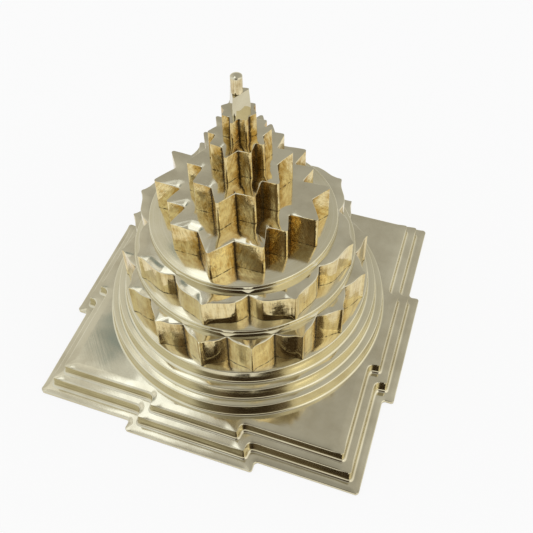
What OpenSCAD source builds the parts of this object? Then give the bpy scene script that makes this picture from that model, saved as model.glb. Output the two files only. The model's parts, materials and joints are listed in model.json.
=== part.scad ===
// Meru shri yantra: a stepped brass tower of square, round, petal and star tiers.
// Millimetres, +Z up. The origin is the middle of the underside, and the front gate faces -Y.

/* [Square base] */
// Side of the bottom plate, without its gates
base_side = 143; // [138:0.5:170]
// How far each square step is set in from the one below, on every side
step_inset = 4.5; // [3:0.1:5]
// How far a gate stands out from its side
gate_out = 4.7; // [3:0.1:8]
// Width of the bottom plate's gates
gate_w = 56.8; // [45:0.2:80]
// Radius in the inner corners beside the gates of the two thick steps
gate_fillet = 2.6; // [1:0.1:3]
// Radius of the bottom plate's corners
plate_corner = 1.4; // [0.6:0.1:3]
// Thickness of the bottom plate
plate_t = 1.6; // [1.6:0.1:3]
// Height of the middle step
middle_h = 6; // [5.8:0.1:9]
// Height of the upper step
upper_h = 5; // [3:0.1:8]

/* [Rings] */
// Gap between the lowest ring's wall and the upper step's side
ring_margin = 0.8; // [0.4:0.1:3]
// Tread of each ring that shows round the ring above it
ring_tread = 3.95; // [2:0.05:5]
// Height of each ring
ring_h = 6.4; // [4:0.1:9]

/* [Sixteen petals] */
// Ledge of the top ring that shows past the petal tips
outer_petal_ledge = 0.6; // [0.2:0.1:2]
// Depth of a petal from its tip to the notch beside it
outer_petal_depth = 5.8; // [3:0.1:7]
// Height of the petal tier
outer_petal_h = 16.4; // [10:0.1:22]
// Angle that a petal's edge leaves its notch at, from the petal's own axis
outer_notch_angle = 42; // [30:1:60]
// Length over which the edge keeps that direction
outer_notch_pull = 7; // [1:0.1:9]
// Half of the angle at a petal's tip
outer_tip_angle = 36; // [30:1:65]
// Length over which the tip keeps that angle
outer_tip_pull = 5; // [1:0.1:7]

/* [Eight petals] */
// Ledge left between the sixteen petals' notches and the disc on them
petal_disc_ledge = 0.4; // [0.1:0.1:2]
// Ledge of the disc that shows past the petal tips
inner_petal_ledge = 0.3; // [0.1:0.1:2]
// Depth of a petal from its tip to the notch beside it
inner_petal_depth = 7.1; // [4:0.1:9]
// Height of the petal tier
inner_petal_h = 13; // [8:0.1:20]
// Angle that a petal's edge leaves its notch at, from the petal's own axis
inner_notch_angle = 27; // [15:1:50]
// Length over which the edge keeps that direction
inner_notch_pull = 10; // [4:0.1:12]
// Half of the angle at a petal's tip
inner_tip_angle = 44; // [35:1:75]
// Length over which the tip keeps that angle
inner_tip_pull = 7.2; // [2:0.1:9]

/* [Discs] */
// Ledge left between the eight petals' notches and the disc on them
star_disc_ledge = 0.9; // [0.2:0.1:3]
// Height of the two round discs
disc_h = 4.2; // [2.5:0.1:7]

/* [Lines of the stars] */
// Distance of the outer front line from the centre
front_line_1 = 28.2; // [26:0.1:31]
// Distance of the second front line
front_line_2 = 18.2; // [16:0.1:21]
// Distance of the third front line
front_line_3 = 9.6; // [8:0.1:12]
// Distance of the inner front line
front_line_4 = 4.2; // [3.4:0.1:5]
// Distance of the line next to the centre, towards the back
middle_line = 0.6; // [0:0.1:1.4]
// Distance of the inner back line
back_line_4 = 5.6; // [4.8:0.1:6.4]
// Distance of the third back line
back_line_3 = 9; // [8:0.1:12]
// Distance of the second back line
back_line_2 = 17.2; // [15:0.1:20]
// Distance of the outer back line
back_line_1 = 26.2; // [24:0.1:30]

/* [Star of fourteen] */
// Reach of its front and back points
fourteen_reach = 37.4; // [34:0.1:38.4]
// Half width at the outer lines
fourteen_w1 = 19; // [16:0.1:22]
// Half width at the second lines
fourteen_w2 = 24.8; // [22:0.1:28]
// Half width at the third lines
fourteen_w3 = 34.4; // [31:0.1:36]
// Half width of the neck of its front and back points
fourteen_neck = 7.2; // [5:0.1:9]
// How far a flank runs in from its point to the notch above
fourteen_flank = 2.4; // [1:0.1:4]
// Half width at the notches of its waist
fourteen_waist = 28.6; // [22:0.1:31]
// Height of the tier
fourteen_h = 15; // [10:0.1:20]

/* [Outer star of ten] */
// Reach of its front and back points
outer_ten_reach = 26; // [22:0.1:30]
// Half width at the second lines
outer_ten_w2 = 12.3; // [10:0.1:15]
// Half width at the third lines
outer_ten_w3 = 18.9; // [16:0.1:22]
// Half width of the neck of its front and back points
outer_ten_neck = 4.8; // [3.5:0.1:6]
// How far a flank runs in from its point to the notch above
outer_ten_flank = 0.5; // [0.1:0.1:2]
// Half width at the notches of its waist
outer_ten_waist = 14.6; // [12:0.1:17]
// Height of the tier
outer_ten_h = 14.5; // [10:0.1:20]

/* [Inner star of ten] */
// Reach of its front and back points
inner_ten_reach = 15.5; // [13:0.1:18]
// Half width at the third lines
inner_ten_w3 = 8; // [6.5:0.1:10]
// Half width at the inner lines
inner_ten_w4 = 11.5; // [10:0.1:14]
// Half width of the neck of its front and back points
inner_ten_neck = 3.1; // [2.4:0.1:4]
// How far a flank runs in from its point to the notch above
inner_ten_flank = 0.2; // [0:0.1:1]
// Half width at the notches of its waist
inner_ten_waist = 9.1; // [7.5:0.1:10]
// Height of the tier
inner_ten_h = 12.6; // [9:0.1:18]

/* [Star of eight] */
// Reach of its front and back points
eight_reach = 8.5; // [7.5:0.1:10]
// Half width at the inner lines
eight_w4 = 5.1; // [4.4:0.1:6]
// Half width at the line next to the centre
eight_middle_w = 7; // [6:0.1:8]
// Half width of the neck of its front and back points
eight_neck = 1.7; // [1.2:0.1:2.2]
// Half width at the notches between its side points
eight_waist = 4.8; // [4.2:0.1:5.4]
// Height of the tier
eight_h = 9.8; // [7:0.1:14]

/* [Triangle and bindu] */
// Reach of the triangle's front point
triangle_reach = 4.7; // [4.2:0.1:5.6]
// Distance of the triangle's back side from the centre
triangle_back = 3.3; // [2.6:0.1:4]
// Half width of the triangle's back side
triangle_w = 4.3; // [3.8:0.1:5.2]
// Height of the triangle tier
triangle_h = 8.4; // [6:0.1:12]
// Diameter of the bindu
bindu_d = 4.3; // [3.8:0.1:5]
// Height of the bindu
bindu_h = 7.2; // [4:0.1:9]
// Rise of the bindu's domed top
bindu_dome = 0.6; // [0.3:0.1:1.2]

/* [Rods, pins and fixings] */
// Radial clearance of a bore round its rod, pin or screw
bore_clear = 0.1; // [0.05:0.01:0.2]
// Gap left past the end of a rod, pin or screw in a blind bore
end_gap = 0.4; // [0.1:0.05:0.8]
// Diameter of the rod that ties the tiers together
tie_rod_d = 3; // [2.4:0.1:3.4]
// Diameter of the thin neck of the tie rod, through the triangle
tie_neck_d = 1.8; // [1.4:0.1:2]
// How far the tie rod's neck reaches into the bindu
tie_neck_grip = 3.2; // [2:0.1:3.4]
// How far the tie rod's shoulder lies below the triangle
tie_shoulder_drop = 0.6; // [0.2:0.1:1.5]
// How far the tie rod stands out below its nut
tie_rod_end = 0.5; // [0.2:0.1:0.8]
// Width across the flats of the nut
nut_flats = 5.5; // [4.5:0.1:6.5]
// Thickness of the nut
nut_t = 2.4; // [1.8:0.1:2.8]
// Diameter of the washer
washer_d = 7; // [6.6:0.1:9]
// Thickness of the washer
washer_t = 0.5; // [0.4:0.1:0.8]
// Gap round the nut and washer in their recess
recess_clear = 0.8; // [0.5:0.1:2]
// Diameter of the two guide rods
guide_rod_d = 4; // [3:0.1:5]
// Metal left between a guide rod and the waist of the star of fourteen
guide_wall = 2.6; // [1.5:0.1:5]
// Depth of the guide rods in the middle step
guide_seat = 3.4; // [2:0.1:4]
// Depth of the guide rods in the star of fourteen
guide_grip = 8; // [4:0.1:9]
// Diameter of the two star pins
star_pin_d = 1.5; // [1:0.1:1.8]
// Depth of the star pins in the star of fourteen
star_pin_seat = 4; // [2:0.1:5]
// Depth of the star pins in the star of eight
star_pin_grip = 4; // [2:0.1:5]
// Diameter of the pin that keeps the triangle from turning
triangle_pin_d = 1; // [0.7:0.1:1.1]
// Distance of that pin from the centre, towards the triangle's front point
triangle_pin_out = 2.3; // [2:0.1:2.5]
// Depth of that pin in the star of eight
triangle_pin_seat = 3; // [2:0.1:4]
// Depth of that pin in the triangle
triangle_pin_grip = 3; // [2:0.1:4]
// Thread diameter of the base screws
screw_d = 2.5; // [2:0.1:3]
// Head diameter of the base screws
screw_head_d = 4.7; // [4:0.1:5.6]
// Length of a base screw, head included
screw_len = 6; // [5:0.1:6.4]
// Distance of the base screws from the sides of the middle step
screw_margin = 9; // [6:0.5:15]

/* [Hidden] */
$fn = 96;
// Straight pieces that one half of a petal's edge is drawn with
petal_steps = 8;
// Overlap of a cut past the face it opens
eps = 0.05;
polished = [0.74, 0.67, 0.48];
worn = [0.66, 0.54, 0.30];
plain_brass = [0.72, 0.58, 0.31];

// Levels of the seats, from the bottom plate up
middle_z = plate_t;
upper_z = middle_z + middle_h;
ring_z = upper_z + upper_h;
outer_petal_z = ring_z + 3 * ring_h;
petal_disc_z = outer_petal_z + outer_petal_h;
inner_petal_z = petal_disc_z + disc_h;
star_disc_z = inner_petal_z + inner_petal_h;
fourteen_z = star_disc_z + disc_h;
outer_ten_z = fourteen_z + fourteen_h;
inner_ten_z = outer_ten_z + outer_ten_h;
eight_z = inner_ten_z + inner_ten_h;
triangle_z = eight_z + eight_h;
bindu_z = triangle_z + triangle_h;

// Sides and radii that follow from the base, each tier set in from the one below
middle_side = base_side - 2 * step_inset;
upper_side = middle_side - 2 * step_inset;
ring_r = upper_side / 2 - ring_margin;
outer_petal_tip = ring_r - 2 * ring_tread - outer_petal_ledge;
outer_petal_notch = outer_petal_tip - outer_petal_depth;
petal_disc_r = outer_petal_notch - petal_disc_ledge;
inner_petal_tip = petal_disc_r - inner_petal_ledge;
inner_petal_notch = inner_petal_tip - inner_petal_depth;
star_disc_r = inner_petal_notch - star_disc_ledge;

// The clamp below the middle step's web, and the places of the rods, pins and screws
tie_hole_r = tie_rod_d / 2 + bore_clear;
neck_hole_r = tie_neck_d / 2 + bore_clear;
nut_corners = nut_flats / cos(30);
recess_r = max(nut_corners, washer_d) / 2 + recess_clear;
recess_depth = washer_t + nut_t + tie_rod_end + end_gap;
washer_z = middle_z + recess_depth - washer_t;
nut_z = washer_z - nut_t;
tie_rod_z = nut_z - tie_rod_end;
guide_x = fourteen_waist - guide_wall - guide_rod_d / 2;
guide_z = upper_z - guide_seat;
star_pin_x = (tie_hole_r + eight_waist) / 2;
star_pin_z = outer_ten_z - star_pin_seat;
triangle_pin_z = triangle_z - triangle_pin_seat;
screw_at = middle_side / 2 - screw_margin;
screw_head_h = (screw_head_d - screw_d) / 2;

// Corner between a side and a gate, filled to a radius; the corner is at the origin
module inner_fillet(r) {
  difference() {
    square(r);
    translate([r, r]) circle(r);
  }
}

// Plan of a square step with one gate on each side
module gated_square(side, gate, fillet) {
  r = min(fillet, gate_out);
  square(side, center = true);
  for (turn = [0 : 90 : 270]) rotate(turn) {
    translate([-gate / 2, 0]) square([gate, side / 2 + gate_out]);
    for (hand = [0, 1]) mirror([hand, 0])
      translate([gate / 2, side / 2]) inner_fillet(r);
  }
}

// Plan of the bottom plate: a gated square with its four corners rounded
module plate_plan() {
  difference() {
    gated_square(base_side, gate_w, plate_corner);
    for (turn = [0 : 90 : 270]) rotate(turn)
      translate([-base_side / 2, -base_side / 2]) inner_fillet(plate_corner);
  }
}

// Point at t on the curve from a to d with handles b and c
function bezier(a, b, c, d, t) =
  pow(1 - t, 3) * a + 3 * t * pow(1 - t, 2) * b + 3 * t * t * (1 - t) * c + pow(t, 3) * d;

function turned(p, turn) = [p.x * cos(turn) - p.y * sin(turn), p.x * sin(turn) + p.y * cos(turn)];

// Half of a petal that points along +Y, from the notch on its right to its tip
function half_petal(count, tip, notch, notch_angle, notch_pull, tip_angle, tip_pull) =
  let (start = notch * [sin(180 / count), cos(180 / count)], end = [0, tip])
  [for (i = [0 : petal_steps]) bezier(
    start,
    start + notch_pull * [-sin(notch_angle), cos(notch_angle)],
    end + tip_pull * [sin(tip_angle), -cos(tip_angle)],
    end,
    i / petal_steps)];

// Closed ring of petals, one of them pointing along +Y, drawn anticlockwise
module petal_plan(count, half) {
  petal = concat(
    [for (i = [0 : petal_steps]) half[i]],
    [for (i = [petal_steps - 1 : -1 : 1]) [-half[i].x, half[i].y]]);
  polygon([for (n = [0 : count - 1], p = petal) turned(p, n * 360 / count)]);
}

// Right half of a star from its front point to its back point: rows of points on the lines,
// notches set in from each point by the flank, and the waist between front and back rows
function half_star(reach, neck, flank, front, waist, back) = concat(
  [[0, -reach], [neck, -front[0].y]],
  [for (i = [0 : len(front) - 1], p = i == 0 ? [front[0]] : [[front[i - 1].x - flank, front[i].y], front[i]])
    [p.x, -p.y]],
  waist,
  [for (i = [len(back) - 1 : -1 : 0], p = i == 0 ? [back[0]] : [back[i], [back[i - 1].x - flank, back[i].y]])
    p],
  [[neck, back[0].y], [0, reach]]);

// Whole star from its right half
module star_plan(half) {
  last = len(half) - 1;
  polygon(concat(half, [for (i = [last - 1 : -1 : 1]) [-half[i].x, half[i].y]]));
}

// Upright round bore of a rod from z, with the rod's own diameter
module bore(d, z, h, x = 0, y = 0) {
  translate([x, y, z]) cylinder(d = d + 2 * bore_clear, h = h);
}

module tie_bore(z, h) {
  bore(tie_rod_d, z - eps, h + 2 * eps);
}

module guide_bores(z, h) {
  for (side = [-1, 1]) bore(guide_rod_d, z, h, side * guide_x);
}

module star_pin_bores(z, h) {
  for (side = [-1, 1]) bore(star_pin_d, z, h, side * star_pin_x, middle_line);
}

// Tier that the tie rod and both guide rods pass right through
module guided_tier(z, h) {
  difference() {
    translate([0, 0, z]) linear_extrude(h) children();
    tie_bore(z, h);
    guide_bores(z - eps, h + 2 * eps);
  }
}

// Tier of a star that the tie rod and both star pins pass right through
module pinned_star(z, h) {
  difference() {
    translate([0, 0, z]) linear_extrude(h) children();
    tie_bore(z, h);
    star_pin_bores(z - eps, h + 2 * eps);
  }
}

// Places one child at each base screw
module at_screws() {
  for (x = [-1, 1], y = [-1, 1]) translate([x * screw_at, y * screw_at]) children();
}

module base_plate() {
  color(worn) difference() {
    linear_extrude(plate_t) plate_plan();
    at_screws() {
      translate([0, 0, -eps]) cylinder(d = screw_d + 2 * bore_clear, h = plate_t + 2 * eps);
      cylinder(d1 = screw_head_d + 2 * bore_clear, d2 = screw_d + 2 * bore_clear, h = screw_head_h);
    }
  }
}

module bhupura_middle() {
  color(polished) difference() {
    translate([0, 0, middle_z]) linear_extrude(middle_h)
      gated_square(middle_side, gate_w - 2 * step_inset, gate_fillet);
    tie_bore(middle_z, middle_h);
    translate([0, 0, middle_z - eps]) cylinder(r = recess_r, h = recess_depth + eps);
    guide_bores(guide_z, guide_seat + eps);
    at_screws() translate([0, 0, middle_z - eps])
      cylinder(d = screw_d + 2 * bore_clear, h = screw_len - plate_t + end_gap + eps);
  }
}

module bhupura_upper() {
  color(polished) guided_tier(upper_z, upper_h)
    gated_square(upper_side, gate_w - 4 * step_inset, gate_fillet);
}

module ring_step(index) {
  color(polished) guided_tier(ring_z + index * ring_h, ring_h)
    circle(ring_r - index * ring_tread);
}

module ring_lower() {
  ring_step(0);
}

module ring_middle() {
  ring_step(1);
}

module ring_upper() {
  ring_step(2);
}

module petals_sixteen() {
  color(worn) guided_tier(outer_petal_z, outer_petal_h)
    petal_plan(16, half_petal(16, outer_petal_tip, outer_petal_notch,
      outer_notch_angle, outer_notch_pull, outer_tip_angle, outer_tip_pull));
}

module petal_disc() {
  color(polished) guided_tier(petal_disc_z, disc_h) circle(petal_disc_r);
}

module petals_eight() {
  color(worn) guided_tier(inner_petal_z, inner_petal_h)
    petal_plan(8, half_petal(8, inner_petal_tip, inner_petal_notch,
      inner_notch_angle, inner_notch_pull, inner_tip_angle, inner_tip_pull));
}

module star_disc() {
  color(polished) guided_tier(star_disc_z, disc_h) circle(star_disc_r);
}

module star_fourteen() {
  half = half_star(fourteen_reach, fourteen_neck, fourteen_flank,
    [[fourteen_w1, front_line_1], [fourteen_w2, front_line_2], [fourteen_w3, front_line_3]],
    [[fourteen_waist, middle_line]],
    [[fourteen_w1, back_line_1], [fourteen_w2, back_line_2], [fourteen_w3, back_line_3]]);
  color(worn) difference() {
    translate([0, 0, fourteen_z]) linear_extrude(fourteen_h) star_plan(half);
    tie_bore(fourteen_z, fourteen_h);
    guide_bores(fourteen_z - eps, guide_grip + end_gap + eps);
    star_pin_bores(star_pin_z, star_pin_seat + eps);
  }
}

module star_ten_outer() {
  half = half_star(outer_ten_reach, outer_ten_neck, outer_ten_flank,
    [[outer_ten_w2, front_line_2], [outer_ten_w3, front_line_3]],
    [[outer_ten_waist, middle_line]],
    [[outer_ten_w2, back_line_2], [outer_ten_w3, back_line_3]]);
  color(worn) pinned_star(outer_ten_z, outer_ten_h) star_plan(half);
}

module star_ten_inner() {
  half = half_star(inner_ten_reach, inner_ten_neck, inner_ten_flank,
    [[inner_ten_w3, front_line_3], [inner_ten_w4, front_line_4]],
    [[inner_ten_waist, middle_line]],
    [[inner_ten_w3, back_line_3], [inner_ten_w4, back_line_4]]);
  color(worn) pinned_star(inner_ten_z, inner_ten_h) star_plan(half);
}

module star_eight() {
  half = half_star(eight_reach, eight_neck, 0,
    [[eight_w4, front_line_4]],
    [[eight_waist, (middle_line - front_line_4) / 2], [eight_middle_w, middle_line],
      [eight_waist, (middle_line + back_line_4) / 2]],
    [[eight_w4, back_line_4]]);
  color(worn) difference() {
    translate([0, 0, eight_z]) linear_extrude(eight_h) star_plan(half);
    tie_bore(eight_z, eight_h);
    star_pin_bores(eight_z - eps, star_pin_grip + end_gap + eps);
    bore(triangle_pin_d, triangle_pin_z, triangle_pin_seat + eps, 0, -triangle_pin_out);
  }
}

module triangle() {
  color(polished) difference() {
    translate([0, 0, triangle_z]) linear_extrude(triangle_h)
      polygon([[0, -triangle_reach], [triangle_w, triangle_back], [-triangle_w, triangle_back]]);
    bore(tie_neck_d, triangle_z - eps, triangle_h + 2 * eps);
    bore(triangle_pin_d, triangle_z - eps, triangle_pin_grip + end_gap + eps, 0, -triangle_pin_out);
  }
}

module bindu() {
  r = bindu_d / 2;
  dome_r = (r * r + bindu_dome * bindu_dome) / (2 * bindu_dome);
  color(polished) difference() {
    translate([0, 0, bindu_z]) intersection() {
      cylinder(r = r, h = bindu_h);
      translate([0, 0, bindu_h - dome_r]) sphere(dome_r);
    }
    bore(tie_neck_d, bindu_z - eps, tie_neck_grip + end_gap + eps);
  }
}

module tie_rod() {
  shoulder = triangle_z - tie_shoulder_drop;
  color(plain_brass) {
    translate([0, 0, tie_rod_z]) cylinder(d = tie_rod_d, h = shoulder - tie_rod_z);
    translate([0, 0, shoulder]) cylinder(d = tie_neck_d, h = bindu_z + tie_neck_grip - shoulder);
  }
}

module clamp_washer() {
  color(plain_brass) difference() {
    translate([0, 0, washer_z]) cylinder(d = washer_d, h = washer_t);
    tie_bore(washer_z, washer_t);
  }
}

module clamp_nut() {
  color(plain_brass) difference() {
    translate([0, 0, nut_z]) cylinder(d = nut_corners, h = nut_t, $fn = 6);
    tie_bore(nut_z, nut_t);
  }
}

module guide_rods() {
  color(plain_brass) for (side = [-1, 1]) translate([side * guide_x, 0, guide_z])
    cylinder(d = guide_rod_d, h = fourteen_z + guide_grip - guide_z);
}

module star_pins() {
  color(plain_brass) for (side = [-1, 1]) translate([side * star_pin_x, middle_line, star_pin_z])
    cylinder(d = star_pin_d, h = eight_z + star_pin_grip - star_pin_z);
}

module triangle_pin() {
  color(plain_brass) translate([0, -triangle_pin_out, triangle_pin_z])
    cylinder(d = triangle_pin_d, h = triangle_pin_seat + triangle_pin_grip);
}

module base_screws() {
  color(plain_brass) at_screws() {
    cylinder(d1 = screw_head_d, d2 = screw_d, h = screw_head_h);
    translate([0, 0, screw_head_h]) cylinder(d = screw_d, h = screw_len - screw_head_h);
  }
}

base_plate();
bhupura_middle();
bhupura_upper();
ring_lower();
ring_middle();
ring_upper();
petals_sixteen();
petal_disc();
petals_eight();
star_disc();
star_fourteen();
star_ten_outer();
star_ten_inner();
star_eight();
triangle();
bindu();
tie_rod();
clamp_washer();
clamp_nut();
guide_rods();
star_pins();
triangle_pin();
base_screws();
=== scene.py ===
"""Looks of a meru shri yantra, a stepped brass tower of square, round, petal and star tiers.

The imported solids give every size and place. Each tier that shows is modelled again over its solid,
with the worn edges and uneven walls of hand work, and is dressed in the brass finish of its surfaces.
"""

from __future__ import annotations

import json
import logging
import math
import random
from dataclasses import dataclass
from enum import Enum
from functools import partial
from typing import Any, ClassVar

import bpy
from mathutils import Matrix, Vector, noise

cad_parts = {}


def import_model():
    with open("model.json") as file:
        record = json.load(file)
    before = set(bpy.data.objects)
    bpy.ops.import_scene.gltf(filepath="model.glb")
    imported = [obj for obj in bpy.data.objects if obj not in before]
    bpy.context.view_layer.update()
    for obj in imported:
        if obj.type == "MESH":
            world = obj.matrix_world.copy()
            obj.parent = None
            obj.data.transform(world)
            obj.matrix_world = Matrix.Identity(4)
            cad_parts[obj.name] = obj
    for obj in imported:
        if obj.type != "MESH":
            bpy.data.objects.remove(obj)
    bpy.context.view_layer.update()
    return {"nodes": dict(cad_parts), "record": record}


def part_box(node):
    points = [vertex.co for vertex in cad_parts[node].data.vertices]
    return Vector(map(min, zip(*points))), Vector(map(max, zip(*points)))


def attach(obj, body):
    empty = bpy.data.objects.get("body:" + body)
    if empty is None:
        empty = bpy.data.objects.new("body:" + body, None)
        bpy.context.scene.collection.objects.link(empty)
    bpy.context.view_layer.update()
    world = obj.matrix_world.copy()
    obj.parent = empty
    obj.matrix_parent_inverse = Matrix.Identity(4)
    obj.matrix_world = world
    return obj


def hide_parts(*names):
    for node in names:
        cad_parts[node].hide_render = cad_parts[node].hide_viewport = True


LOG = logging.getLogger("meru_shri_yantra")
MM = 0.001
BODY = "root"
STROKE_MAP = "stroke_mm"
# Measures on each wall point that place the patina and painted shade at the foot and in the notches.
FOOT_HEIGHT = "foot_height_mm"
NOTCH_GAP = "notch_gap_mm"


def linear(hex_colour: str) -> tuple[float, float, float, float]:
    """Turns an sRGB hex colour into linear light.

    Args:
        hex_colour: Colour such as "#C8B27A".

    Returns:
        Linear red, green, blue and an alpha of 1.
    """
    values = [int(hex_colour[i : i + 2], 16) / 255 for i in (1, 3, 5)]
    red, green, blue = [v / 12.92 if v <= 0.04045 else ((v + 0.055) / 1.055) ** 2.4 for v in values]
    return red, green, blue, 1.0


def add_node(
    tree: bpy.types.NodeTree, kind: str, inputs: dict[Any, Any] | None = None, **settings: Any
) -> bpy.types.Node:
    """Adds one shader node with its settings, values and links.

    Args:
        tree: Node tree that gets the node.
        kind: Blender's name of the node type, without its ShaderNode prefix.
        inputs: Socket name or number to a value, or to the socket or node that feeds it.
        settings: Attributes of the node itself.

    Returns:
        The new node.
    """
    made = tree.nodes.new(f"ShaderNode{kind}")
    for name, value in settings.items():
        setattr(made, name, value)
    for key, value in (inputs or {}).items():
        if isinstance(value, bpy.types.Node):
            value = next(socket for socket in value.outputs if socket.enabled)
        if isinstance(value, bpy.types.NodeSocket):
            tree.links.new(value, made.inputs[key])
        else:
            made.inputs[key].default_value = value
    return made


def per_mm(spacing_mm: float) -> float:
    """Pattern scale on Object coordinates, which are metres, for a spacing in millimetres."""
    return 1 / (spacing_mm * MM)


def deselect_all() -> None:
    """Leaves edit mode and selects nothing."""
    if bpy.context.object is not None and bpy.context.object.mode != "OBJECT":
        bpy.ops.object.mode_set(mode="OBJECT")
    bpy.ops.object.select_all(action="DESELECT")


def cut_out(piece: bpy.types.Object, cutter: bpy.types.Object) -> None:
    """Takes one object's shape out of another.

    Args:
        piece: Object that is cut, which stays the active one.
        cutter: Object whose shape is taken out; it is removed.
    """
    deselect_all()
    piece.select_set(True)
    bpy.context.view_layer.objects.active = piece
    bpy.ops.object.modifier_add(type="BOOLEAN")
    cut = piece.modifiers[-1]
    cut.operation = "DIFFERENCE"
    cut.object = cutter
    bpy.ops.object.modifier_apply(modifier=cut.name)
    bpy.data.objects.remove(cutter)


class Surface(Enum):
    """Material slot of a dressed tier."""

    TREAD = 0
    WALL = 1


@dataclass(frozen=True)
class Edge:
    """Worn edges and uneven walls of a tier, in millimetres.

    Attributes:
        rim: Round of the top edge.
        crown: Width over which the tread still falls towards the rim, as a polishing wheel leaves it.
        slope: Fall of the tread at the rim, in degrees.
        tip: Radius of an outer corner.
        notch: Radius of an inner corner.
        pitch: Spacing of points along the plan and up the wall.
        rough: How far the wall sinks from flat.
        draft: Slope of the wall, outwards to the foot, in degrees.
        fillet: Hollow round between the foot and the tread below.
    """

    rim: float
    crown: float
    slope: float
    tip: float
    notch: float
    pitch: float
    rough: float
    draft: float = 0.0
    fillet: float = 0.0

    ROUND_STEPS: ClassVar[int] = 5
    CROWN_STEPS: ClassVar[int] = 8
    CROWN_POWER: ClassVar[float] = 1.5

    def fall(self) -> list[tuple[float, float]]:
        """Round and crown of the top edge.

        Returns:
            Inset and drop below the tread, from the top of the wall to the level tread.
        """
        arc_turn = math.pi / 2 - math.radians(self.slope)
        arc_in, arc_up = self.rim * (1 - math.cos(arc_turn)), self.rim * math.sin(arc_turn)
        path = []
        for k in range(self.ROUND_STEPS + 1):
            turn = arc_turn * k / self.ROUND_STEPS
            drop = self.crown_drop(0.0) + arc_up - self.rim * math.sin(turn)
            path.append((self.rim * (1 - math.cos(turn)), drop))
        for k in range(1, self.CROWN_STEPS + 1):
            inset = self.crown * k / self.CROWN_STEPS
            path.append((arc_in + inset, self.crown_drop(inset)))
        return path

    def crown_drop(self, inset: float) -> float:
        """Fall of the tread below its level part, at a distance from the rim."""
        left = max(0.0, 1 - inset / self.crown)
        return self.crown * math.tan(math.radians(self.slope)) / self.CROWN_POWER * left**self.CROWN_POWER

    def lean_out(self, share: float, height: float) -> float:
        """Outward shift of a sloping wall at a share of its height, none half way up."""
        return (0.5 - share) * height * math.tan(math.radians(self.draft))

    def rise(self) -> list[tuple[float, float]]:
        """Hollow round of the foot.

        Returns:
            Outward shift and height above the tread below, from there up to the wall.
        """
        if not self.fillet:
            return []
        turns = [math.pi / 2 * k / self.ROUND_STEPS for k in range(self.ROUND_STEPS)]
        return [(self.fillet * (1 - math.sin(t)), self.fillet * (1 - math.cos(t))) for t in turns]


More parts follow.
